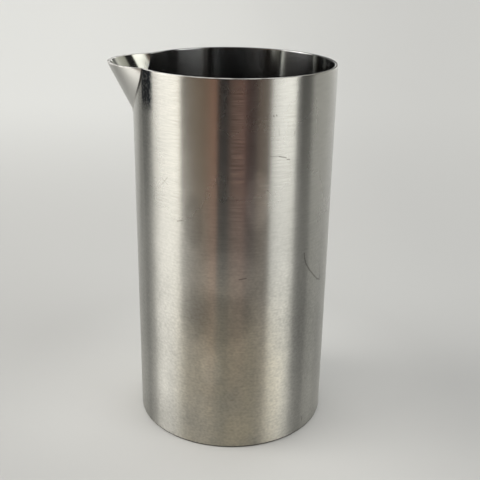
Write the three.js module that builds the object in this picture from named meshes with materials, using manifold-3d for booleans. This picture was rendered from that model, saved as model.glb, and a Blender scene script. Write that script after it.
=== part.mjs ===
// A small cylindrical table creamer in brushed stainless steel, with a leaning pouring spout
// let into the rim. Five pieces, soldered into one rigid jug: a rolled body tube, a pressed base
// pan pushed up into its lower end, a formed spout, and the solder that holds each of the two.
// Millimetres, +Z up. The origin is the middle of the standing face and the spout points to -X.

import * as THREE from 'three';
import { mergeVertices } from 'three/addons/utils/BufferGeometryUtils.js';
import Module from 'manifold-3d';

const wasm = await Module();
wasm.setup();

// Body tube
const bodyDiameter = 50;
const bodyHeight = 94.4;
const bodyWall = 0.7;
const rimRounding = 0.25;
const footRounding = 0.45;

// Spout: part of a leaning bowl, round in plan, whose sides drop upright from the rim and close
// below, and whose front line runs straight from the root on the body to the tip
const spoutReach = 6;
const spoutRootDepth = 12;
const spoutNoseRadius = 13;
const spoutBowlDepth = 17;
const spoutWall = 0.7;

// Base pan
const baseWall = 0.8;
const baseSkirtHeight = 5;
const baseCornerRadius = 1.6;

// Solder
const solderGap = 0.3;
const solderSkin = 0.05;
const spoutBeadWidth = 0.4;
const baseFilletHeight = 0.7;
const baseSolderRecess = 0.2;

// Facets
const facetsAroundBody = 96;
const facetsAroundSpout = 72;
const facetsPerRounding = 2;
const facetsDownSpout = 12;
const weldDistance = 1e-4;

// Places that follow from the sizes
const bodyRadius = bodyDiameter / 2;
const boreRadius = bodyRadius - bodyWall;
const skirtRadius = boreRadius - solderGap;
const spoutTipX = bodyRadius + spoutReach;
const spoutFrontSlope = spoutReach / spoutRootDepth;
const spoutWallInPlan = spoutWall * Math.hypot(1, spoutFrontSlope);
const spoutBoreRadius = spoutNoseRadius - spoutWallInPlan;

// Turns a closed outline, drawn as radius across and height up, about the Z axis.
function revolve(path, facets) {
  const outline = path.getPoints(facetsPerRounding);
  return new THREE.LatheGeometry(outline, facets).rotateX(Math.PI / 2);
}

function toSolid(geometry) {
  const bare = new THREE.BufferGeometry();
  bare.setAttribute('position', geometry.getAttribute('position').clone());
  bare.setIndex(geometry.getIndex().clone());
  const welded = mergeVertices(bare, weldDistance);
  const corners = welded.getIndex().array;
  const triangles = [];
  for (let i = 0; i < corners.length; i += 3) {
    const [a, b, c] = [corners[i], corners[i + 1], corners[i + 2]];
    if (a !== b && b !== c && c !== a) {
      triangles.push(a, b, c);
    }
  }
  return new wasm.Manifold(new wasm.Mesh({
    numProp: 3,
    vertProperties: new Float32Array(welded.getAttribute('position').array),
    triVerts: new Uint32Array(triangles),
  }));
}

function toMesh(name, solid, material) {
  const { vertProperties, triVerts } = solid.getMesh();
  const geometry = new THREE.BufferGeometry();
  geometry.setAttribute('position', new THREE.BufferAttribute(vertProperties, 3));
  geometry.setIndex(new THREE.BufferAttribute(triVerts, 1));
  geometry.computeVertexNormals();
  const mesh = new THREE.Mesh(geometry, material);
  mesh.name = name;
  return mesh;
}

// A full rod about the Z axis, long enough to pass the jug's rim and foot.
function rod(radius) {
  const length = bodyHeight * 2;
  const geometry = new THREE.CylinderGeometry(radius, radius, length, facetsAroundBody, 1);
  geometry.rotateX(Math.PI / 2);
  return toSolid(geometry.translate(0, 0, bodyHeight / 2));
}

// Radius of the spout's outer face in plan, at a depth below the rim.
function noseRadius(depth) {
  return spoutNoseRadius * (1 - (depth / spoutBowlDepth) ** 2);
}

// Outline of the bowl from its lowest point up to a given depth below the rim, with its radius
// grown by a length in plan.
function bowlSide(growth, topDepth) {
  const lowest = spoutBowlDepth * Math.sqrt(1 + growth / spoutNoseRadius);
  const path = new THREE.Path();
  path.moveTo(0, -lowest);
  for (let i = 1; i <= facetsDownSpout; i += 1) {
    const depth = lowest + (topDepth - lowest) * i / facetsDownSpout;
    path.lineTo(noseRadius(depth) + growth, -depth);
  }
  return path;
}

// Turns a bowl, drawn with its mouth at height 0, leans it so that its front line runs straight
// to the spout's tip, and sets its mouth in the rim's plane.
function leaningBowl(path) {
  const geometry = revolve(path, facetsAroundSpout);
  const places = geometry.getAttribute('position');
  for (let i = 0; i < places.count; i += 1) {
    const depth = -places.getZ(i);
    const middleX = spoutTipX - spoutFrontSlope * depth - noseRadius(depth);
    places.setX(i, places.getX(i) - middleX);
  }
  return toSolid(geometry.translate(0, 0, bodyHeight));
}

// The bowl, filled, with its radius grown by a length in plan, up to a height over the rim.
function fullBowl(growth, overRim) {
  const path = bowlSide(growth, -overRim);
  path.lineTo(0, overRim);
  return leaningBowl(path);
}

// The spout's outer face, with the outer edge of its rim rounded off.
function roundedOuterBowl() {
  const path = bowlSide(0, rimRounding);
  path.quadraticCurveTo(spoutNoseRadius, 0, spoutNoseRadius - rimRounding, 0);
  path.lineTo(0, 0);
  return leaningBowl(path);
}

// The spout's inner face, flaring at the top so that it rounds the inner edge of the rim.
function flaredInnerBowl() {
  const path = bowlSide(-spoutWallInPlan, rimRounding);
  path.quadraticCurveTo(spoutBoreRadius, 0, spoutBoreRadius + rimRounding, 0);
  path.lineTo(spoutBoreRadius + rimRounding, spoutWall);
  path.lineTo(0, spoutWall);
  return leaningBowl(path);
}

// The tube, with the notch that opens it into the spout, cut flush with the spout's inner face.
function bodyTube() {
  const path = new THREE.Path();
  path.moveTo(boreRadius, 0);
  path.lineTo(bodyRadius - footRounding, 0);
  path.quadraticCurveTo(bodyRadius, 0, bodyRadius, footRounding);
  path.lineTo(bodyRadius, bodyHeight - rimRounding);
  path.quadraticCurveTo(bodyRadius, bodyHeight, bodyRadius - rimRounding, bodyHeight);
  path.lineTo(boreRadius + rimRounding, bodyHeight);
  path.quadraticCurveTo(boreRadius, bodyHeight, boreRadius, bodyHeight - rimRounding);
  path.lineTo(boreRadius, 0);
  const tube = toSolid(revolve(path, facetsAroundBody));
  return tube.subtract(fullBowl(-spoutWallInPlan, spoutWall));
}

// A pressed dish: a flat floor that the jug stands on, with its edge turned up as a skirt.
function basePan() {
  const innerCorner = baseCornerRadius - baseWall;
  const cornerX = skirtRadius - baseCornerRadius;
  const path = new THREE.Path();
  path.moveTo(0, 0);
  path.lineTo(cornerX, 0);
  path.absarc(cornerX, baseCornerRadius, baseCornerRadius, -Math.PI / 2, 0, false);
  path.lineTo(skirtRadius, baseSkirtHeight);
  path.lineTo(skirtRadius - baseWall, baseSkirtHeight);
  path.lineTo(skirtRadius - baseWall, baseCornerRadius);
  path.absarc(cornerX, baseCornerRadius, innerCorner, 0, -Math.PI / 2, true);
  path.lineTo(0, baseWall);
  return toSolid(revolve(path, facetsAroundBody));
}

// Solder drawn up between skirt and tube, with a fillet on the skirt's top edge and a fill in
// the groove under the pan's round corner.
function baseSolder() {
  const outerX = boreRadius - solderSkin;
  const innerX = skirtRadius + solderSkin;
  const skirtTop = baseSkirtHeight + solderSkin;
  const cornerX = skirtRadius - baseCornerRadius;
  const cornerRadius = baseCornerRadius + solderSkin;
  const grooveAngle = -Math.asin((baseCornerRadius - baseSolderRecess) / cornerRadius);
  const path = new THREE.Path();
  path.moveTo(outerX, baseSolderRecess);
  path.lineTo(outerX, skirtTop + baseFilletHeight);
  path.quadraticCurveTo(outerX, skirtTop, skirtRadius - baseWall / 2, skirtTop);
  path.lineTo(innerX, skirtTop);
  path.lineTo(innerX, baseCornerRadius);
  path.absarc(cornerX, baseCornerRadius, cornerRadius, 0, grooveAngle, true);
  path.lineTo(outerX, baseSolderRecess);
  return toSolid(revolve(path, facetsAroundBody));
}

// The spout's sheet, with its lower edges mitred to the round of the tube.
function spout() {
  const sheet = roundedOuterBowl().subtract(flaredInnerBowl());
  return sheet.subtract(rod(bodyRadius + solderGap));
}

// The ribbon of solder in the spout's seam, standing out beside the spout by a bead's width.
function spoutSolder() {
  const ribbon = fullBowl(spoutBeadWidth, -rimRounding)
    .subtract(fullBowl(-spoutWallInPlan, spoutWall));
  return ribbon
    .intersect(rod(bodyRadius + solderGap - solderSkin))
    .subtract(rod(bodyRadius + solderSkin));
}

const brushedSteel = new THREE.MeshStandardMaterial({
  color: 0xb9b6ae, roughness: 0.36, metalness: 1,
});
const satinSteel = new THREE.MeshStandardMaterial({
  color: 0xc2bfb8, roughness: 0.24, metalness: 1,
});
const turnedSteel = new THREE.MeshStandardMaterial({
  color: 0xaeaba4, roughness: 0.42, metalness: 1,
});
const dullSolder = new THREE.MeshStandardMaterial({
  color: 0x8e8b84, roughness: 0.5, metalness: 1,
});

const creamer = new THREE.Group();
creamer.add(toMesh('body_tube', bodyTube(), brushedSteel));
creamer.add(toMesh('base_pan', basePan(), turnedSteel));
creamer.add(toMesh('base_solder', baseSolder(), dullSolder));
creamer.add(toMesh('spout', spout(), satinSteel));
creamer.add(toMesh('spout_solder', spoutSolder(), dullSolder));

export default creamer;
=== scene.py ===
"""Looks of a small brushed-steel creamer: a straight tube with a leaning spout let into its rim.

Lengths are in metres and the frame is the CAD model's: +Z up, the spout towards -X, and the
middle of the standing face at the origin. Angles round the jug start at the camera's side, which
is -Y, and grow towards +X.
"""

import math

import bpy
from mathutils import Matrix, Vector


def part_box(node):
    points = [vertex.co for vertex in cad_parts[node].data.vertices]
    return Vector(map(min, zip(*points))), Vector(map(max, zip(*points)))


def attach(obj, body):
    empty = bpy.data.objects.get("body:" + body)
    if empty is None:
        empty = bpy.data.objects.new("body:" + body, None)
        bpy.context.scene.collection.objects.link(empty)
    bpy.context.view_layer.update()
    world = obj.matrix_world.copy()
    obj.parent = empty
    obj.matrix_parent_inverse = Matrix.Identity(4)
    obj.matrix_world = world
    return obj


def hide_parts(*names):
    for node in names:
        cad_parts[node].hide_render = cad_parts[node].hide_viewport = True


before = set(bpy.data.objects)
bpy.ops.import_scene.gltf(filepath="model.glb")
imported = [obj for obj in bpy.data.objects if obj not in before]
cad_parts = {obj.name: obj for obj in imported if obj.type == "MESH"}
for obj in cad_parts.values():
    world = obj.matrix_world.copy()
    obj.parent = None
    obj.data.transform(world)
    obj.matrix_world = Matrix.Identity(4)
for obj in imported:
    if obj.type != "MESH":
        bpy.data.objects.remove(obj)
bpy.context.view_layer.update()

MM = 0.001

# Sizes of the jug, from the frame and from its sheets of steel
BODY_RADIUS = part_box("body_tube")[1].x
RIM_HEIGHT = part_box("body_tube")[1].z
BODY_WALL = 0.7 * MM
RIM_ROUNDING = 0.25 * MM
FOOT_ROUNDING = 0.45 * MM
SKIRT_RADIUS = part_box("base_pan")[1].x
SKIRT_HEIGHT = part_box("base_pan")[1].z
BASE_WALL = 0.8 * MM
BASE_CORNER = 1.6 * MM
SPOUT_REACH = 6 * MM
SPOUT_ROOT_DEPTH = 12 * MM
SPOUT_NOSE_RADIUS = 13 * MM
SPOUT_BOWL_DEPTH = 17 * MM
SPOUT_WALL = 0.7 * MM
SOLDER_BEAD = 0.35 * MM
SOLDER_PROUD = 0.1 * MM
SOLDER_FILLET = 0.7 * MM
SOLDER_RECESS = 0.2 * MM
SEAM_OVERLAP = 0.02 * MM

# Places that follow from the sizes
BORE_RADIUS = BODY_RADIUS - BODY_WALL
SPOUT_TIP_X = BODY_RADIUS + SPOUT_REACH
SPOUT_FRONT_SLOPE = SPOUT_REACH / SPOUT_ROOT_DEPTH
SPOUT_WALL_IN_PLAN = SPOUT_WALL * math.hypot(1, SPOUT_FRONT_SLOPE)

# Fineness of the round shapes
STEPS_ROUND_BODY = 288
STEPS_ROUND_SPOUT = 240
STEPS_DOWN_SPOUT = 40
STEPS_PER_ROUNDING = 5
EDGE_LOOP = 0.1 * MM
LAST_RING = 0.99
WELD = 0.001 * MM


class Wire:
    """One output of a shader node. Sums on wires add Math nodes to the same tree."""

    def __init__(self, tree, output=None):
        self.tree = tree
        self.output = output

    def node(self, kind, settings=None, inputs=None, output=0):
        made = self.tree.nodes.new("ShaderNode" + kind)
        for name, value in (settings or {}).items():
            if name == "stops":
                set_stops(made.color_ramp.elements, value)
            else:
                setattr(made, name, value)
        for name, value in (inputs or {}).items():
            if isinstance(value, Wire):
                self.tree.links.new(value.output, made.inputs[name])
            else:
                made.inputs[name].default_value = value
        return Wire(self.tree, made.outputs[output])

    def math(self, operation, *terms):
        return self.node("Math", {"operation": operation}, dict(enumerate(terms)))

    def __add__(self, other):
        return self.math("ADD", self, other)

    def __sub__(self, other):
        return self.math("SUBTRACT", self, other)

    def __rsub__(self, other):
        return self.math("SUBTRACT", other, self)

    def __mul__(self, other):
        return self.math("MULTIPLY", self, other)

    def __truediv__(self, other):
        return self.math("DIVIDE", self, other)

    __radd__ = __add__
    __rmul__ = __mul__


def set_stops(elements, stops):
    while len(elements) < len(stops):
        elements.new(1)
    for element, (place, colour) in zip(elements, stops):
        element.position = place
        element.color = colour


def smooth_step(value, low, high):
    settings = {"interpolation_type": "SMOOTHSTEP"}
    return value.node("MapRange", settings, {0: value, 1: low, 2: high, 3: 0, 4: 1})


def mix_colour(factor, first, second):
    settings = {"data_type": "RGBA"}
    return factor.node("Mix", settings, {0: factor, 6: first, 7: second}, output=2)


def stretched_noise(place, per_metre, detail=2, roughness=0.5):
    """Noise with its own count of grains per metre along X, Y and Z."""
    settings = {"operation": "MULTIPLY"}
    spread = place.node("VectorMath", settings, {0: place, 1: per_metre})
    inputs = {"Vector": spread, "Scale": 1, "Detail": detail, "Roughness": roughness}
    return place.node("TexNoise", {"noise_dimensions": "3D"}, inputs)


def split(place):
    """The X, Y and Z of a place as three wires."""
    node = place.node("SeparateXYZ", None, {0: place}).output.node
    return [Wire(place.tree, output) for output in node.outputs]


# Finishes, with some light and shade painted into them

# Colours of the steel, of what lies on it, and of the light and shade painted on it
BRUSHED_STEEL = (0.475, 0.468, 0.438, 1)
# Greasy film, paler than the steel: partly painted light
GREASY_FILM_AND_LIGHT = (0.6, 0.548, 0.432, 1)
# Painted dark reflection of the spout, on the wall beside it
PAINTED_REFLECTION_COLOUR = (0.01, 0.014, 0.02, 1)
SCRATCH_SHADE = (0.12, 0.11, 0.095, 1)
INSIDE_DIM = (0.51, 0.515, 0.52, 1)
INSIDE_CLEAR = (0.6, 0.605, 0.61, 1)
# Painted shade low down inside the jug
INSIDE_SHADE = (0.175, 0.17, 0.16, 1)
# The rim's edge: nicks, a painted highlight, and a darker tone towards +X
EDGE_NICK = (0.46, 0.45, 0.42, 1)
EDGE_PAINTED_HIGHLIGHT = (0.9, 0.89, 0.86, 1)
EDGE_DARK = (0.13, 0.12, 0.095, 1)
# Painted contact shadow on the foot's rounding
CONTACT_SHADOW_DARK = (0.1, 0.098, 0.085, 1)
CONTACT_SHADOW_PALE = (0.2, 0.195, 0.17, 1)
SATIN_DIM = (0.46, 0.455, 0.435, 1)
SATIN_CLEAR = (0.54, 0.535, 0.51, 1)
MIRROR_DIM = (0.46, 0.46, 0.415, 1)
MIRROR_CLEAR = (0.54, 0.54, 0.49, 1)
BASE_DIM = (0.42, 0.405, 0.375, 1)
BASE_CLEAR = (0.5, 0.485, 0.45, 1)
SOLDER_DIM = (0.42, 0.41, 0.39, 1)
SOLDER_CLEAR = (0.58, 0.57, 0.54, 1)
SOLDER_DARK = (0.05, 0.048, 0.045, 1)

# Grains of each texture per metre along X, Y and Z
BRUSH_LINES = (260, 260, 3600)
BRUSH_GRAIN = (1500, 1500, 1900)
HAND_SMUDGES = (65, 65, 50)
INSIDE_LINES = (40, 40, 3000)
INSIDE_SMUDGES = (90, 90, 60)
EDGE_NICKS = (420, 420, 900)
CONTACT_SHADOW_NOISE = (500, 500, 500)
SATIN_GRAIN = (700, 700, 2500)
SATIN_SMUDGES = (120, 120, 120)
MIRROR_SMUDGES = (160, 160, 160)
BASE_RINGS = (2600, 1, 1)
BASE_SMUDGES = (90, 90, 90)
SOLDER_LUMPS = (1500, 1500, 1500)

# Depths of the textures
BRUSH_DEPTH = 0.003 * MM
INSIDE_DEPTH = 0.0005 * MM
EDGE_DEPTH = 0.004 * MM
CONTACT_SHADOW_DEPTH = 0.01 * MM
SATIN_DEPTH = 0.002 * MM
MIRROR_DEPTH = 0.004 * MM
RING_DEPTH = 0.006 * MM
LUMP_DEPTH = 0.02 * MM

# Where finishes and painted shade change, in millimetres, from none to full
INSIDE_SHADE_HEIGHTS = (86, 78)
EDGE_DARK_ACROSS = (9, 18)
SOLDER_DARK_HEIGHTS = (85, 91)

# How dark the rim's edge gets towards +X, and how far that edge is metal in the shader, the rest
# showing its pale colour as a painted highlight
EDGE_DARK_STRENGTH = 0.92
EDGE_METALLIC = 0.3

# Wear on the wall in millimetres: round from the camera's side and up from the foot
LONG_SCRATCH = [(18.5, 51.4), (18.7, 50.1), (19.3, 48.5), (20.9, 46.3), (23.0, 44.2), (24.9, 42.5)]
SCRATCH_END = [(24.9, 42.5), (26.6, 41.7), (26.7, 42.9)]
SMALL_SCRATCHES = [
    [(0.9, 47.3), (2.6, 47.6)],
    [(9.8, 76.8), (11.6, 76.3)],
    [(11.9, 75.9), (12.6, 75.8)],
    [(8.1, 86.2), (8.2, 86.0)],
    [(8.8, 86.3), (8.9, 86.1)],
    [(-14.4, 60.5), (-12.9, 60.9)],
    [(20.7, 3.9), (20.9, 2.6)],
]
FAINT_SCRATCHES = [
    [(26.7, 42.9), (26.1, 45.2), (25.4, 47.0)],
    [(7.5, 77.0), (9.8, 76.8)],
    [(9.5, 83.1), (9.7, 81.7)],
    [(13.8, 82.2), (13.6, 81.2)],
    [(-19.0, 70.2), (-17.1, 68.9)],
    [(-19.1, 68.5), (-17.1, 70.6)],
    [(4.6, 69.1), (7.4, 69.0)],
    [(3.2, 73.3), (3.5, 72.9)],
]

# Widths of the scratches in millimetres, the share of a width that is full, and a faint one's depth
SCRATCH_WIDTH = 0.22
LONG_SCRATCH_WIDTH = 0.32
SCRATCH_END_WIDTH = 0.28
SCRATCH_CORE = 0.3
FAINT_DEPTH = 0.35

# Blotches in the film: place round and up, half their width and height, and the change in light
FILM_BLOTCHES = [
    (-1.3, 48.1, 7.2, 6.2, 0.24),
    (-2.9, 35.9, 9.0, 7.5, -0.17),
    (-9.8, 37.0, 4.6, 8.4, -0.16),
    (4.9, 66.6, 3.1, 7.2, 0.40),
    (-10.0, 61.1, 2.5, 6.9, -0.18),
    (-5.6, 23.3, 3.1, 4.8, 0.16),
]

# The blotches' soft edge, from none to full, and how ragged it is, in shares of their half sizes
BLOTCH_EDGE = (1.15, 0.6)
BLOTCH_RAGGEDNESS = 0.9

# Painted dark reflection of the spout on the wall at each side of it: round from the spout's middle
# and up from the foot in millimetres, and its strengths
SPOUT_REFLECTION_INNER_EDGE = (12.3, 13.2)
SPOUT_REFLECTION_OUTER_EDGE = (16.3, 18.3)
SPOUT_REFLECTION_DARK_HEIGHTS = (83.5, 88.5)
SPOUT_REFLECTION_FADING_HEIGHTS = (40, 80)
SPOUT_REFLECTION_DARK_SHARE = 0.72
SPOUT_REFLECTION_FADING_SHARE = 0.28

# Columns on the wall, in radians: middle, where they end, where they are full, and strength. Sides
# are in radians too, and heights in millimetres, both from none to full.
# Painted light on the lower wall, in columns and towards the spout's side
PAINTED_LIGHT_COLUMNS = [(-0.66, 0.2, 0.08, 0.12), (-0.24, 0.16, 0.06, 0.08), (0.42, 0.17, 0.06, 0.28)]
PAINTED_LIGHT_SIDE = (-1.1, -1.3)
PAINTED_LIGHT_SIDE_STRENGTH = 0.2
# Painted shade on the lower wall, in columns, towards the right side and low in the middle
PAINTED_SHADE_COLUMNS = [(-0.99, 0.14, 0.05, 0.2), (0.7, 0.14, 0.06, 0.2)]
PAINTED_SHADE_SIDE = (0.92, 1.08)
PAINTED_SHADE_SIDE_STRENGTH = 0.16
PAINTED_SHADE_FOOT_COLUMN = (0.02, 0.3, 0.16, 0.16)
PAINTED_SHADE_FOOT_HEIGHTS = (40, 16)
# Where the painted light and shade on the lower wall fade out upwards
LOW_PAINTED_LIGHT_HEIGHTS = (64, 36)
# Film from handling, its pale tone partly painted light on the lower wall
TALL_FILM_AND_LIGHT = (-0.05, 0.37, 0.16, 0.45)
TALL_FILM_AND_LIGHT_HEIGHTS = (70, 34)
WIDE_FILM_AND_LIGHT = (-0.02, 0.7, 0.4, 0.6)
WIDE_FILM_AND_LIGHT_HEIGHTS = (54, 20)
# Painted glints: brush lines drawn with more contrast in a column on the camera's side, high up
PAINTED_GLINT_COLUMN = (0, 0.075, 0.03, 0.85)
PAINTED_GLINT_HEIGHTS = (50, 78)
UNWORN_HEIGHTS = (30, 75)

# The share of the film that lies between smudges, and the tones of the smudges that fill it up
FILM_LEAST = 0.55
FILM_SMUDGES = (0.32, 0.64)


def steel(name, anisotropy):
    """A bare metal material, with its place on the object and its shader."""
    material = bpy.data.materials.new(name)
    material.use_nodes = True
    shader = material.node_tree.nodes["Principled BSDF"]
    shader.inputs["Metallic"].default_value = 1
    shader.inputs["Anisotropic"].default_value = anisotropy
    shader.inputs["Anisotropic Rotation"].default_value = 0.25
    return material, Wire(material.node_tree).node("TexCoord", output="Object"), shader


def finish_steel(shader, colour, roughness, height, depth):
    bump = height.node("Bump", None, {"Height": height, "Distance": depth, "Strength": 1})
    links = height.tree.links
    links.new(colour.output, shader.inputs["Base Color"])
    links.new(roughness.output, shader.inputs["Roughness"])
    links.new(bump.output, shader.inputs["Normal"])


def stroke(round_mm, up_mm, start, end, width):
    """A soft-edged straight scratch between two places on the wall: 1 on it and 0 beside it."""
    run = end[0] - start[0]
    rise = end[1] - start[1]
    along = ((round_mm - start[0]) * run + (up_mm - start[1]) * rise) / (run * run + rise * rise)
    along = along.math("MINIMUM", along.math("MAXIMUM", along, 0), 1)
    aside = round_mm - start[0] - along * run
    above = up_mm - start[1] - along * rise
    distance = aside.math("SQRT", aside * aside + above * above)
    return 1 - smooth_step(distance, width * SCRATCH_CORE, width)


def scratches(round_mm, up_mm):
    strokes = [(LONG_SCRATCH, LONG_SCRATCH_WIDTH, 1), (SCRATCH_END, SCRATCH_END_WIDTH, 1)]
    strokes += [(path, SCRATCH_WIDTH, 1) for path in SMALL_SCRATCHES]
    strokes += [(path, SCRATCH_WIDTH, FAINT_DEPTH) for path in FAINT_SCRATCHES]
    marks = round_mm * 0
    for path, width, depth in strokes:
        for start, end in zip(path, path[1:]):
            mark = stroke(round_mm, up_mm, start, end, width) * depth
            marks = marks.math("MAXIMUM", marks, mark)
    return marks


def painted_spout_reflection(round_mm, up_mm):
    """A painted dark reflection of the spout: a strip on the wall at each side of it, darkest high up.
    """
    from_spout = round_mm.math("ABSOLUTE", round_mm + math.pi / 2 * BODY_RADIUS / MM)
    strip = smooth_step(from_spout, *SPOUT_REFLECTION_INNER_EDGE) * (1 - smooth_step(from_spout, *SPOUT_REFLECTION_OUTER_EDGE))
    black = smooth_step(up_mm, *SPOUT_REFLECTION_DARK_HEIGHTS) * SPOUT_REFLECTION_DARK_SHARE
    fading = smooth_step(up_mm, *SPOUT_REFLECTION_FADING_HEIGHTS) * SPOUT_REFLECTION_FADING_SHARE
    return strip * (black + fading)


def blotches(round_mm, up_mm, ragged):
    """How much the blotches in the film lighten or darken the wall."""
    change = round_mm * 0
    for across, high, half_width, half_height, strength in FILM_BLOTCHES:
        aside = (round_mm - across) / half_width
        above = (up_mm - high) / half_height
        reach = aside.math("SQRT", aside * aside + above * above) + (ragged - 0.5) * BLOTCH_RAGGEDNESS
        change = change + smooth_step(reach, *BLOTCH_EDGE) * strength
    return change


def column(angle, middle, wide, narrow, strength):
    """A column on the wall, full within narrow of its middle angle and none beyond wide."""
    return smooth_step(angle.math("ABSOLUTE", angle - middle), wide, narrow) * strength


def low_painted_light(angle, up_mm):
    """Painted light and painted shade on the lower wall, in columns by angle round the jug."""
    lit_columns = smooth_step(angle, *PAINTED_LIGHT_SIDE) * PAINTED_LIGHT_SIDE_STRENGTH
    for listed in PAINTED_LIGHT_COLUMNS:
        lit_columns = lit_columns + column(angle, *listed)
    shaded_columns = smooth_step(angle, *PAINTED_SHADE_SIDE) * PAINTED_SHADE_SIDE_STRENGTH
    for listed in PAINTED_SHADE_COLUMNS:
        shaded_columns = shaded_columns + column(angle, *listed)
    shaded_columns = shaded_columns + column(angle, *PAINTED_SHADE_FOOT_COLUMN) * smooth_step(up_mm, *PAINTED_SHADE_FOOT_HEIGHTS)
    return smooth_step(up_mm, *LOW_PAINTED_LIGHT_HEIGHTS) * (lit_columns - shaded_columns)


def film_and_painted_light(angle, up_mm, smudges):
    """The greasy film from handling, its pale tone partly painted light: a tall part in the middle and
    a wide one over the foot.
    """
    tall = column(angle, *TALL_FILM_AND_LIGHT) * smooth_step(up_mm, *TALL_FILM_AND_LIGHT_HEIGHTS)
    wide = column(angle, *WIDE_FILM_AND_LIGHT) * smooth_step(up_mm, *WIDE_FILM_AND_LIGHT_HEIGHTS)
    smudged = FILM_LEAST + smooth_step(smudges, *FILM_SMUDGES) * (1 - FILM_LEAST)
    return (tall + wide) * smudged


def brushed_outside():
    """Steel brushed round the jug with film, blotches and scratches, and painted reflection, glints,
    light and shade.
    """
    material, place, shader = steel("brushed_outside", 1.0)
    x, y, z = split(place)
    angle = x.math("ARCTAN2", x, 0 - y)
    round_mm = angle * (BODY_RADIUS / MM)
    up_mm = z / MM
    lines = stretched_noise(place, BRUSH_LINES, detail=1)
    grain = stretched_noise(place, BRUSH_GRAIN, detail=0)
    smudges = stretched_noise(place, HAND_SMUDGES, detail=5, roughness=0.58)
    marks = scratches(round_mm, up_mm)
    worn = 1 - smooth_step(up_mm, *UNWORN_HEIGHTS)
    # Painted glints in the brush lines on the camera's side
    glint_column = column(angle, *PAINTED_GLINT_COLUMN) * smooth_step(up_mm, *PAINTED_GLINT_HEIGHTS)
    combed = (lines - 0.5) * (0.25 - worn * 0.05 + glint_column)
    speckled = (grain - 0.5) * (0.05 + worn * 0.3) + (smudges - 0.5) * (0.3 + worn * 0.5)
    # The lower wall takes painted light and shade
    light = (1 + speckled + combed) * (1 + low_painted_light(angle, up_mm))
    light = light * (1 + blotches(round_mm, up_mm, smudges))
    # Painted reflection: the spout mirrored dark on the wall beside it
    darkened = painted_spout_reflection(round_mm, up_mm) * (1.1 - smooth_step(grain, 0.4, 0.7) * 0.3)
    # Greasy film, its pale tone partly painted light
    filmed_and_lit = mix_colour(film_and_painted_light(angle, up_mm, smudges), BRUSHED_STEEL, GREASY_FILM_AND_LIGHT)
    reflected = mix_colour(darkened, filmed_and_lit, PAINTED_REFLECTION_COLOUR)
    scratched = mix_colour(marks * 0.55, reflected, SCRATCH_SHADE)
    grey = light.node("CombineColor", None, {0: light, 1: light, 2: light})
    settings = {"data_type": "RGBA", "blend_type": "MULTIPLY"}
    colour = light.node("Mix", settings, {0: 1, 6: scratched, 7: grey}, output=2)
    roughness = 0.27 + worn * 0.06 + (smudges - 0.5) * 0.1
    finish_steel(shader, colour, roughness, lines - marks, BRUSH_DEPTH)
    return material


def polished_inside():
    """Steel polished to a soft mirror, with painted shade low down in the jug."""
    material, place, shader = steel("polished_inside", 1.0)
    lines = stretched_noise(place, INSIDE_LINES)
    smudges = stretched_noise(place, INSIDE_SMUDGES, detail=3)
    clean = mix_colour(smudges, INSIDE_DIM, INSIDE_CLEAR)
    # Painted shade: the inside turns darker from 86 mm down to 78 mm and stays dark below
    painted_shade_low = smooth_step(split(place)[2] / MM, *INSIDE_SHADE_HEIGHTS)
    colour = mix_colour(painted_shade_low, clean, INSIDE_SHADE)
    roughness = 0.118 + (smudges - 0.5) * 0.04 + (lines - 0.5) * 0.02
    finish_steel(shader, colour, roughness, lines, INSIDE_DEPTH)
    return material


def painted_highlight_edge():
    """The rim's nicked edge, only partly metal in the shader, its pale colour a painted highlight."""
    material, place, shader = steel("painted_highlight_edge", 0.0)
    nicks = stretched_noise(place, EDGE_NICKS, detail=1)
    shader.inputs["Metallic"].default_value = EDGE_METALLIC
    # Painted highlight: the pale colour of the edge, broken by nicks
    bare = mix_colour(smooth_step(nicks, 0.3, 0.6), EDGE_NICK, EDGE_PAINTED_HIGHLIGHT)
    # Darker towards +X, where the painted highlight ends
    dark_side = smooth_step(split(place)[0] / MM, *EDGE_DARK_ACROSS) * EDGE_DARK_STRENGTH
    colour = mix_colour(dark_side, bare, EDGE_DARK)
    roughness = 0.16 + nicks * 0.14
    finish_steel(shader, colour, roughness, nicks, EDGE_DEPTH)
    return material


def foot_contact_shadow():
    """A painted contact shadow: a dark, mottled line where the jug meets the table."""
    material, place, shader = steel("foot_contact_shadow", 0.0)
    shadow_noise = stretched_noise(place, CONTACT_SHADOW_NOISE, detail=3)
    colour = mix_colour(shadow_noise, CONTACT_SHADOW_DARK, CONTACT_SHADOW_PALE)
    roughness = 0.5 + (shadow_noise - 0.5) * 0.2
    finish_steel(shader, colour, roughness, shadow_noise, CONTACT_SHADOW_DEPTH)
    return material


def satin_spout():
    """The spout's satin outer face."""
    material, place, shader = steel("satin_spout", 0.0)
    grain = stretched_noise(place, SATIN_GRAIN, detail=3)
    smudges = stretched_noise(place, SATIN_SMUDGES, detail=3)
    colour = mix_colour(smudges, SATIN_DIM, SATIN_CLEAR)
    roughness = 0.3 + (grain - 0.5) * 0.1 + (smudges - 0.5) * 0.08
    finish_steel(shader, colour, roughness, grain, SATIN_DEPTH)
    return material


def mirror_spout():
    """The spout's bright inner face."""
    material, place, shader = steel("mirror_spout", 0.0)
    smudges = stretched_noise(place, MIRROR_SMUDGES, detail=3)
    colour = mix_colour(smudges, MIRROR_DIM, MIRROR_CLEAR)
    roughness = 0.09 + smudges * 0.06
    finish_steel(shader, colour, roughness, smudges, MIRROR_DEPTH)
    return material


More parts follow.
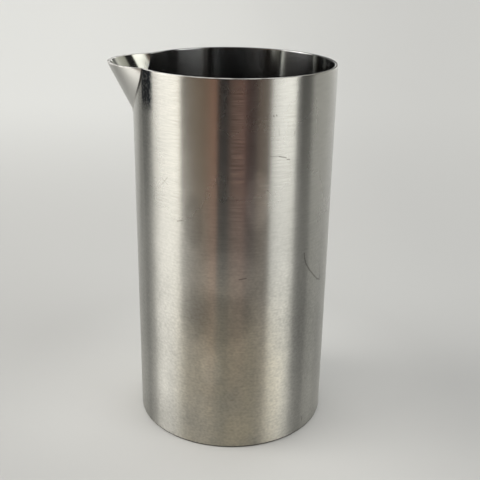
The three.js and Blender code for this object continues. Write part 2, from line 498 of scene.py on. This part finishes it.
def turned_base():
    """Steel with the fine rings that turning leaves."""
    material, place, shader = steel("turned_base", 0.7)
    x, y = split(place)[:2]
    radius = x.math("SQRT", x * x + y * y)
    rings = stretched_noise(radius.node("CombineXYZ", None, {0: radius}), BASE_RINGS, detail=3)
    smudges = stretched_noise(place, BASE_SMUDGES, detail=3)
    colour = mix_colour(smudges, BASE_DIM, BASE_CLEAR)
    roughness = 0.3 + (rings - 0.5) * 0.12 + (smudges - 0.5) * 0.08
    finish_steel(shader, colour, roughness, rings, RING_DEPTH)
    return material


def dull_solder():
    """Lumpy grey solder, darker high up beside the spout."""
    material, place, shader = steel("dull_solder", 0.0)
    lumps = stretched_noise(place, SOLDER_LUMPS, detail=3)
    darkened = smooth_step(split(place)[2] / MM, *SOLDER_DARK_HEIGHTS)
    clean = mix_colour(lumps, SOLDER_DIM, SOLDER_CLEAR)
    colour = mix_colour(darkened, clean, SOLDER_DARK)
    roughness = 0.45 + (lumps - 0.5) * 0.2
    finish_steel(shader, colour, roughness, lumps, LUMP_DEPTH)
    return material


# Forms

# Shares of the wall's thickness that its rim with the painted highlight and its two faces take, and of
# the foot's rounding that the painted contact shadow takes
EDGE_SHARE = 0.65
FACE_SHARE = 0.1
CONTACT_SHADOW_SHARE = 0.9


def deselect_all():
    bpy.ops.object.select_all(action="DESELECT")


def take_up(piece):
    deselect_all()
    piece.select_set(True)
    bpy.context.view_layer.objects.active = piece


def pick(piece, kind, chosen):
    """Enters edit mode with only those vertices or edges selected that answer to a test."""
    take_up(piece)
    bpy.ops.object.mode_set(mode="EDIT")
    bpy.ops.mesh.select_mode(type=kind)
    bpy.ops.mesh.select_all(action="DESELECT")
    bpy.ops.object.mode_set(mode="OBJECT")
    places = piece.data.vertices
    if kind == "VERT":
        for vertex in places:
            vertex.select = chosen(vertex.co)
    else:
        for edge in piece.data.edges:
            edge.select = all(chosen(places[end].co) for end in edge.vertices)
    bpy.ops.object.mode_set(mode="EDIT")


def round_corner(centre, radius, start, end):
    """Points of an arc in the plane of radius across and height up, angles in degrees."""
    points = []
    for step in range(STEPS_PER_ROUNDING + 1):
        angle = math.radians(start + (end - start) * step / STEPS_PER_ROUNDING)
        points.append((centre[0] + radius * math.cos(angle), centre[1] + radius * math.sin(angle)))
    return points


def turn_outline(name, outline):
    """Draws an outline point by point from one vertex and spins it round the jug's axis."""
    deselect_all()
    bpy.ops.mesh.primitive_plane_add(size=MM, location=(0, 0, 0))
    piece = bpy.context.object
    piece.name = name
    bpy.ops.object.mode_set(mode="EDIT")
    bpy.ops.mesh.select_mode(type="VERT")
    bpy.ops.mesh.merge(type="CENTER")
    bpy.ops.transform.translate(value=(outline[0][0], 0, outline[0][1]))
    for here, there in zip(outline, outline[1:]):
        move = (there[0] - here[0], 0, there[1] - here[1])
        bpy.ops.mesh.extrude_vertices_move(TRANSFORM_OT_translate={"value": move})
    bpy.ops.mesh.select_all(action="SELECT")
    bpy.ops.mesh.spin(steps=STEPS_ROUND_BODY, angle=math.tau, center=(0, 0, 0), axis=(0, 0, 1))
    bpy.ops.mesh.select_all(action="SELECT")
    bpy.ops.mesh.remove_doubles(threshold=WELD)
    bpy.ops.mesh.normals_make_consistent(inside=False)
    bpy.ops.object.mode_set(mode="OBJECT")
    return piece


def bowl_ring(growth, depth):
    """Middle and radius of the spout's bowl in plan, at a depth below the rim."""
    radius = SPOUT_NOSE_RADIUS * (1 - (depth / SPOUT_BOWL_DEPTH) ** 2)
    return SPOUT_TIP_X - SPOUT_FRONT_SLOPE * depth - radius, radius + growth


def leaning_bowl(name, growth, over_rim=0):
    """The spout's bowl, filled and grown by a length in plan, drawn down ring by ring."""
    lowest = LAST_RING * SPOUT_BOWL_DEPTH * math.sqrt(1 + growth / SPOUT_NOSE_RADIUS)
    middle, radius = bowl_ring(growth, -over_rim)
    depth = -over_rim
    deselect_all()
    mouth = (-middle, 0, RIM_HEIGHT - depth)
    bpy.ops.mesh.primitive_circle_add(
        vertices=STEPS_ROUND_SPOUT, radius=radius, fill_type="NGON", location=mouth
    )
    bowl = bpy.context.object
    bowl.name = name
    bpy.ops.object.transform_apply(location=True)
    bpy.ops.object.mode_set(mode="EDIT")
    for step in range(STEPS_DOWN_SPOUT):
        below = (lowest + over_rim) * (step + 1) / STEPS_DOWN_SPOUT - over_rim
        next_middle, next_radius = bowl_ring(growth, below)
        move = (middle - next_middle, 0, depth - below)
        bpy.ops.mesh.extrude_region_move(TRANSFORM_OT_translate={"value": move})
        share = next_radius / radius
        centre = (-next_middle, 0, RIM_HEIGHT - below)
        bpy.ops.transform.resize(value=(share, share, 1), center_override=centre)
        middle, radius, depth = next_middle, next_radius, below
    bpy.ops.mesh.select_all(action="SELECT")
    bpy.ops.mesh.normals_make_consistent(inside=False)
    bpy.ops.object.mode_set(mode="OBJECT")
    return bowl


def rod(name, radius):
    """A filled cylinder about the jug's axis, longer than the jug."""
    deselect_all()
    bpy.ops.mesh.primitive_cylinder_add(
        vertices=STEPS_ROUND_BODY, radius=radius, depth=RIM_HEIGHT * 2, location=(0, 0, RIM_HEIGHT)
    )
    made = bpy.context.object
    made.name = name
    bpy.ops.object.transform_apply(location=True)
    return made


def cut(piece, tool, operation="DIFFERENCE"):
    """Cuts a piece with a tool, which is used up."""
    take_up(piece)
    change = piece.modifiers.new("cut", "BOOLEAN")
    change.operation = operation
    change.object = tool
    change.solver = "EXACT"
    bpy.ops.object.modifier_apply(modifier="cut")
    bpy.data.objects.remove(tool)


def bevel_edges(piece, chosen, width):
    """Rounds the edges whose two ends both answer to a test."""
    pick(piece, "EDGE", chosen)
    bpy.ops.mesh.bevel(offset=width, segments=STEPS_PER_ROUNDING, affect="EDGES")
    bpy.ops.object.mode_set(mode="OBJECT")


def smooth(piece, angle=35):
    """Clears slivers that cutting left, then shades the piece smooth up to an angle."""
    pick(piece, "VERT", lambda place: True)
    bpy.ops.mesh.dissolve_degenerate(threshold=WELD)
    bpy.ops.object.mode_set(mode="OBJECT")
    bpy.ops.object.shade_smooth_by_angle(angle=math.radians(angle))


def dress(piece, node, finishes, choose):
    """Gives each face one of the finishes and lets the piece stand for its CAD node."""
    for finish in finishes:
        piece.data.materials.append(finish)
    for face in piece.data.polygons:
        face.material_index = choose(face)
    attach(piece, "root")
    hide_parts(node)


def make_body():
    """The tube, turned with its rounded rim and foot and notched for the spout."""
    rim_z = RIM_HEIGHT - RIM_ROUNDING
    foot = (BODY_RADIUS - FOOT_ROUNDING, FOOT_ROUNDING)
    outline = [(BORE_RADIUS, 0)]
    outline += round_corner(foot, FOOT_ROUNDING, -90, 0)
    outline.append((BODY_RADIUS, FOOT_ROUNDING + EDGE_LOOP))
    outline.append((BODY_RADIUS, rim_z - EDGE_LOOP))
    outline += round_corner((BODY_RADIUS - RIM_ROUNDING, rim_z), RIM_ROUNDING, 0, 90)
    outline += round_corner((BORE_RADIUS + RIM_ROUNDING, rim_z), RIM_ROUNDING, 90, 180)
    outline.append((BORE_RADIUS, rim_z - EDGE_LOOP))
    outline.append(outline[0])
    body = turn_outline("body", outline)
    cut(body, leaning_bowl("notch", -SPOUT_WALL_IN_PLAN, over_rim=SPOUT_WALL))
    smooth(body)
    outside, inside, edge, notch, shadow_line = range(5)

    def choose(face):
        centre = face.center
        depth = (BODY_RADIUS - math.hypot(centre.x, centre.y)) / BODY_WALL
        if centre.z > RIM_HEIGHT - RIM_ROUNDING / 2:
            return edge if depth < EDGE_SHARE else inside
        # The foot's rounding takes the painted contact shadow
        if centre.z < FOOT_ROUNDING * CONTACT_SHADOW_SHARE and depth < 1 - FACE_SHARE:
            return shadow_line
        if FACE_SHARE < depth < 1 - FACE_SHARE and centre.z < rim_z:
            return notch
        return outside if depth < 0.5 else inside

    finishes = [brushed_outside(), polished_inside(), painted_highlight_edge(), mirror_spout(), foot_contact_shadow()]
    dress(body, "body_tube", finishes, choose)


def make_spout():
    """The spout's sheet: a bowl, hollowed, fitted to the tube and rounded along its rim."""
    spout = leaning_bowl("spout_sheet", 0)
    cut(spout, leaning_bowl("spout_bore", -SPOUT_WALL_IN_PLAN, over_rim=SPOUT_WALL))
    cut(spout, rod("body_round", BODY_RADIUS - SEAM_OVERLAP))

    def on_rim(place):
        clear_of_body = math.hypot(place.x, place.y) > BODY_RADIUS
        return clear_of_body and place.z > RIM_HEIGHT - WELD

    bevel_edges(spout, on_rim, RIM_ROUNDING)
    smooth(spout)
    outside, inside, edge = range(3)

    def choose(face):
        centre = face.center
        if centre.z > RIM_HEIGHT - RIM_ROUNDING:
            return edge
        middle, radius = bowl_ring(-SPOUT_WALL_IN_PLAN / 2, RIM_HEIGHT - centre.z)
        return outside if math.hypot(centre.x + middle, centre.y) > radius else inside

    finishes = [satin_spout(), mirror_spout(), painted_highlight_edge()]
    dress(spout, "spout", finishes, choose)


def make_spout_solder():
    """The bead of solder along the spout's seam."""
    bead = leaning_bowl("spout_seam", SOLDER_BEAD, over_rim=-RIM_ROUNDING)
    cut(bead, leaning_bowl("bead_bore", -SPOUT_WALL / 2, over_rim=SPOUT_WALL))
    cut(bead, rod("bead_round", BODY_RADIUS + SOLDER_PROUD), "INTERSECT")
    cut(bead, rod("body_round", BODY_RADIUS - SEAM_OVERLAP))
    smooth(bead)
    dress(bead, "spout_solder", [dull_solder()], lambda face: 0)


def make_base():
    """The pressed pan, with a flat floor and an upturned skirt."""
    corner = (SKIRT_RADIUS - BASE_CORNER, BASE_CORNER)
    outline = [(0, 0), (corner[0] - EDGE_LOOP, 0)]
    outline += round_corner(corner, BASE_CORNER, -90, 0)
    outline.append((SKIRT_RADIUS, SKIRT_HEIGHT))
    outline.append((SKIRT_RADIUS - BASE_WALL, SKIRT_HEIGHT))
    outline += round_corner(corner, BASE_CORNER - BASE_WALL, 0, -90)
    outline.append((corner[0] - EDGE_LOOP, BASE_WALL))
    outline.append((0, BASE_WALL))
    base = turn_outline("base", outline)
    smooth(base)
    dress(base, "base_pan", [turned_base()], lambda face: 0)


def make_base_solder():
    """The solder between skirt and tube, with a fillet on top of the skirt."""
    corner = (SKIRT_RADIUS - BASE_CORNER, BASE_CORNER)
    lowest = -math.degrees(math.asin((BASE_CORNER - SOLDER_RECESS) / BASE_CORNER))
    fillet = (SKIRT_RADIUS - BASE_WALL / 2, SKIRT_HEIGHT + SOLDER_FILLET)
    outline = [(BORE_RADIUS, SOLDER_RECESS), (BORE_RADIUS, SKIRT_HEIGHT + SOLDER_FILLET)]
    outline += round_corner(fillet, SOLDER_FILLET, 0, -90)
    outline.append((SKIRT_RADIUS, SKIRT_HEIGHT))
    outline += round_corner(corner, BASE_CORNER, 0, lowest)
    outline.append(outline[0])
    solder = turn_outline("base_seam", outline)
    smooth(solder)
    dress(solder, "base_solder", [dull_solder()], lambda face: 0)


# Stage, light and camera

# Tones of the floor, with painted light far off and beside the jug and a painted shadow to the right,
# its sizes and its finish
FLOOR_NEAR = (0.572, 0.573, 0.558, 1)
FLOOR_FAR_PAINTED_LIGHT = (0.731, 0.737, 0.719, 1)
FLOOR_BESIDE_PAINTED_LIGHT = (0.69, 0.691, 0.672, 1)
FLOOR_RIGHT_PAINTED_SHADOW = (0.53, 0.533, 0.522, 1)
FLOOR_SHADED = (0.22, 0.22, 0.21, 1)
TABLE_FRONT = -0.108
TABLE_SIZE = 2.4
FLOOR_SIZE = 8
FLOOR_DROP = 0.05 * MM
FLOOR_ROUGHNESS = 0.9
FLOOR_GLOSS = 0.1

# Where the floor's tones and its painted light and shadow change, in metres and radians, and the share
# that the far painted light loses
FLOOR_FAR_AWAY = (0.1, 0.42)
FLOOR_FAR_BEARINGS = (-0.2, 0.3)
FLOOR_FAR_LOSS = 0.78
FLOOR_BESIDE_REACH = (0.026, 0.075)
FLOOR_RIGHT_ACROSS = (0.02, 0.1)

# Painted shadows in two wedges of the floor that only mirrors see: both sides in degrees, and their
# start in metres
LEFT_WEDGE = ((-138, -128), (-106, -114))
LEFT_WEDGE_STRENGTH = 0.65
RIGHT_WEDGE = ((72, 78), (96, 86))
WEDGE_START = (0.11, 0.24)

# Light of the walls by heading in degrees, from the camera's side towards +X
ROOM_STOPS = [
    (-180, (1.3, 1.3, 1.27)),
    (-147, (0.92, 0.92, 0.9)),
    (-139, (0.06, 0.06, 0.05)),
    (-109, (0.04, 0.04, 0.04)),
    (-106, (1.95, 1.9, 1.76)),
    (-100, (3.1, 3.02, 2.88)),
    (-90, (4.4, 4.3, 4.1)),
    (-83, (3.05, 2.97, 2.82)),
    (-77, (2.15, 2.1, 1.98)),
    (-64, (1.8, 1.73, 1.57)),
    (-61.5, (0.14, 0.11, 0.08)),
    (-36, (0.27, 0.18, 0.11)),
    (-22, (0.53, 0.285, 0.19)),
    (-19, (0.02, 0.015, 0.015)),
    (-9, (0.03, 0.02, 0.02)),
    (-4, (0.22, 0.13, 0.1)),
    (9, (0.31, 0.165, 0.13)),
    (13, (0.1, 0.04, 0.035)),
    (22, (0.08, 0.045, 0.04)),
    (27, (0.26, 0.19, 0.15)),
    (38.5, (0.3, 0.25, 0.21)),
    (41, (1.2, 1.2, 1.16)),
    (48, (1.6, 1.6, 1.55)),
    (55, (1.78, 1.78, 1.73)),
    (68.5, (1.9, 1.9, 1.81)),
    (72, (0.02, 0.02, 0.02)),
    (92, (0.02, 0.02, 0.02)),
    (98, (0.72, 0.72, 0.65)),
    (122, (0.85, 0.85, 0.78)),
    (135, (1.42, 1.42, 1.36)),
    (150, (2.65, 2.65, 2.58)),
    (180, (1.3, 1.3, 1.27)),
]

# Light of the rest of the room, with the key light's middle in degrees
CEILING = (1.16, 1.165, 1.17, 1)
KEY_LIGHT = (2.2, 2.2, 2.18, 1)
KEY_HEADING = -80
KEY_HEIGHT = 48
CEILING_IN_MIRRORS = (0.035, 0.035, 0.035, 1)
BACKDROP = (0.66, 0.66, 0.65, 1)
BLACK = (0, 0, 0, 1)

# Where the room's light changes, from none to full, by a direction's part along an axis
END_WALLS = (0.72, 0.85)
FRONT_WALL_FOOT = (-0.05, 0.09)
BACK_WALL_FOOT = (0.06, 0.16)
CORNER_BACK = (0.05, 0.2)
CORNER_FOOT = (0.06, 0.12)
CORNER_TOP = (0.18, 0.26)
RIGHT_SIDE = (0, 0.2)
SIDE_WALL = (0.75, 0.6)
SIDE_WALL_FOOT = (0.02, 0.1)
SIDE_WALL_TOP = (0.42, 0.3)
LEAN_SIDE = (0.5, 0.8)
LEAN_HEIGHTS = (0.12, 0.35)
CEILING_FOOT = (0.6, 0.85)
KEY_EDGE = (0.82, 0.95)
OVERHEAD_FOOT = (0.36, 0.58)
OVERHEAD_FRONT = (0.35, 0.6)

# How strong those changes are, as shares of the light, and how far the right wall leans in degrees
CORNER_TOP_LOSS = 0.6
WALL_DARKNESS = 0.92
SIDE_WALL_GAIN = 0.35
KEY_LOSS_IN_MIRRORS = 0.8
OVERHEAD_DARKNESS = 0.8
LEAN_TURN = 8

# A pool of light on the floor that only mirrors see
POOL_PLACE = (-200 * MM, -110 * MM)
POOL_LIGHT = (1.63, 1.6, 1.52, 1)
POOL_EDGE = (0.165, 0.045)

# Camera, with lens and sensor in millimetres and turns in degrees
CAMERA_FOCAL = 59.44
CAMERA_SENSOR = 36
CAMERA_PLACE = (-5.6 * MM, -195.48 * MM, 123.98 * MM)
CAMERA_HEADING = 2.211
CAMERA_PITCH = 21.328
CAMERA_ROLL = 0.957
CAMERA_CLIP = 10 * MM


def floor_tones(across, away, distance):
    """The floor's colours: its tone near by, painted light far off and close to the jug, and a painted
    shadow to the right.
    """
    bearing = across.math("ARCTAN2", across, away - CAMERA_PLACE[1])
    # Painted light on the far floor, weaker towards the right
    dimmed = 1 - smooth_step(bearing, *FLOOR_FAR_BEARINGS) * FLOOR_FAR_LOSS
    lit = smooth_step(away, *FLOOR_FAR_AWAY) * dimmed
    # Painted light close to the jug
    beside = 1 - smooth_step(distance, *FLOOR_BESIDE_REACH)
    # Painted shadow to the right
    near = mix_colour(smooth_step(across, *FLOOR_RIGHT_ACROSS), FLOOR_NEAR, FLOOR_RIGHT_PAINTED_SHADOW)
    return mix_colour(beside, mix_colour(lit, near, FLOOR_FAR_PAINTED_LIGHT), FLOOR_BESIDE_PAINTED_LIGHT)


def dark_wedges(across, away, distance):
    """Painted shadows in two wedges of the floor, which the jug's wall mirrors as dark columns."""
    turn = across.math("ARCTAN2", across, 0 - away) * (180 / math.pi)
    left = smooth_step(turn, *LEFT_WEDGE[0]) * smooth_step(turn, *LEFT_WEDGE[1]) * LEFT_WEDGE_STRENGTH
    right = smooth_step(turn, *RIGHT_WEDGE[0]) * smooth_step(turn, *RIGHT_WEDGE[1])
    return (left + right) * smooth_step(distance, *WEDGE_START)


def pool_of_light(across, away):
    """A round pool of light on the floor, one in its middle."""
    pool_x = across - POOL_PLACE[0]
    pool_y = away - POOL_PLACE[1]
    from_pool = across.math("SQRT", pool_x * pool_x + pool_y * pool_y)
    return smooth_step(from_pool, *POOL_EDGE)


def pale_floor():
    """A matt floor with painted light and shadow, and painted shadow wedges and a pool of light that
    mirrors alone see.
    """
    material = bpy.data.materials.new("pale_floor")
    material.use_nodes = True
    shader = material.node_tree.nodes["Principled BSDF"]
    place = Wire(material.node_tree).node("TexCoord", output="Object")
    across, away = split(place)[:2]
    distance = across.math("SQRT", across * across + away * away)
    mirrored = place.node("LightPath", output="Is Glossy Ray")
    shade = dark_wedges(across, away, distance) * mirrored
    colour = mix_colour(shade, floor_tones(across, away, distance), FLOOR_SHADED)
    glow = mix_colour(pool_of_light(across, away) * mirrored, BLACK, POOL_LIGHT)
    place.tree.links.new(colour.output, shader.inputs["Base Color"])
    place.tree.links.new(glow.output, shader.inputs["Emission Color"])
    shader.inputs["Emission Strength"].default_value = 1
    shader.inputs["Roughness"].default_value = FLOOR_ROUGHNESS
    shader.inputs["Specular IOR Level"].default_value = FLOOR_GLOSS
    material.cycles.emission_sampling = "NONE"
    return material


def make_floor():
    """A table that mirrors see up to its front edge, and a wide floor for every other view."""
    finish = pale_floor()
    middle = TABLE_FRONT + TABLE_SIZE / 2
    for name, size, place in (
        ("table", TABLE_SIZE, (0, middle, 0)),
        ("wide_floor", FLOOR_SIZE, (0, 0, -FLOOR_DROP)),
    ):
        deselect_all()
        bpy.ops.mesh.primitive_plane_add(size=size, location=place)
        plane = bpy.context.object
        bpy.ops.object.transform_apply(location=True)
        plane.name = name
        plane.data.materials.append(finish)
        plane.visible_glossy = name == "table"


def room_walls(x, y, z):
    """The walls' light by heading, dark at both ends and in a corner, brighter to the right."""
    lean = smooth_step(x, *LEAN_SIDE) * smooth_step(z, *LEAN_HEIGHTS)
    heading = x.math("ARCTAN2", x, 0 - y) - lean * math.radians(LEAN_TURN)
    stops = [((angle + 180) / 360, (*colour, 1)) for angle, colour in ROOM_STOPS]
    walls = x.node("ValToRGB", {"stops": stops}, {0: heading / math.tau + 0.5})
    in_front = smooth_step(0 - y, *END_WALLS) * smooth_step(z, *FRONT_WALL_FOOT)
    behind = smooth_step(y, *END_WALLS) * smooth_step(z, *BACK_WALL_FOOT)
    corner = smooth_step(y, *CORNER_BACK) * smooth_step(x, *RIGHT_SIDE) * smooth_step(z, *CORNER_FOOT)
    corner = corner * (1 - smooth_step(z, *CORNER_TOP) * CORNER_TOP_LOSS)
    ends = in_front + behind
    walls = mix_colour(ends.math("MAXIMUM", ends, corner) * WALL_DARKNESS, walls, BLACK)
    beside = smooth_step(y.math("ABSOLUTE", y), *SIDE_WALL) * smooth_step(x, *RIGHT_SIDE)
    beside = beside * smooth_step(z, *SIDE_WALL_FOOT) * smooth_step(z, *SIDE_WALL_TOP)
    return walls.node("VectorMath", {"operation": "SCALE"}, {0: walls, 3: beside * SIDE_WALL_GAIN + 1})


def room_ceiling(x, y, z, mirrored):
    """The ceiling with its key light, both of them dimmer in mirrors."""
    key_turn = math.radians(KEY_HEADING)
    key_rise = math.radians(KEY_HEIGHT)
    key_side = x * math.sin(key_turn) - y * math.cos(key_turn)
    to_key = key_side * math.cos(key_rise) + z * math.sin(key_rise)
    lit = smooth_step(to_key, *KEY_EDGE) * (1 - mirrored * KEY_LOSS_IN_MIRRORS)
    return mix_colour(lit, mix_colour(mirrored, CEILING, CEILING_IN_MIRRORS), KEY_LIGHT)


def light_room():
    """A room that lights the jug and shows in its steel, with a plain backdrop for the camera."""
    world = bpy.data.worlds.new("room")
    bpy.context.scene.world = world
    world.use_nodes = True
    start = Wire(world.node_tree)
    x, y, z = split(start.node("TexCoord", output="Generated"))
    mirrored = start.node("LightPath", output="Is Glossy Ray")
    ceiling = room_ceiling(x, y, z, mirrored)
    room = mix_colour(smooth_step(z, *CEILING_FOOT), room_walls(x, y, z), ceiling)
    overhead = smooth_step(z, *OVERHEAD_FOOT) * smooth_step(0 - y, *OVERHEAD_FRONT) * mirrored
    room = mix_colour(overhead * OVERHEAD_DARKNESS, room, BLACK)
    seen = start.node("LightPath", output="Is Camera Ray")
    shown = mix_colour(seen, room, BACKDROP)
    background = world.node_tree.nodes["Background"]
    world.node_tree.links.new(shown.output, background.inputs["Color"])


def set_camera():
    deselect_all()
    bpy.ops.object.camera_add()
    camera = bpy.context.object
    camera.data.lens = CAMERA_FOCAL
    camera.data.sensor_width = CAMERA_SENSOR
    camera.data.clip_start = CAMERA_CLIP
    heading = Matrix.Rotation(-math.radians(CAMERA_HEADING), 4, "Z")
    pitch = Matrix.Rotation(math.radians(90 - CAMERA_PITCH), 4, "X")
    roll = Matrix.Rotation(math.radians(CAMERA_ROLL), 4, "Z")
    camera.matrix_world = Matrix.Translation(CAMERA_PLACE) @ heading @ pitch @ roll
    bpy.context.scene.camera = camera


set_camera()
make_body()
make_spout()
make_spout_solder()
make_base()
make_base_solder()
make_floor()
light_room()
bpy.context.scene.view_settings.view_transform = "Standard"
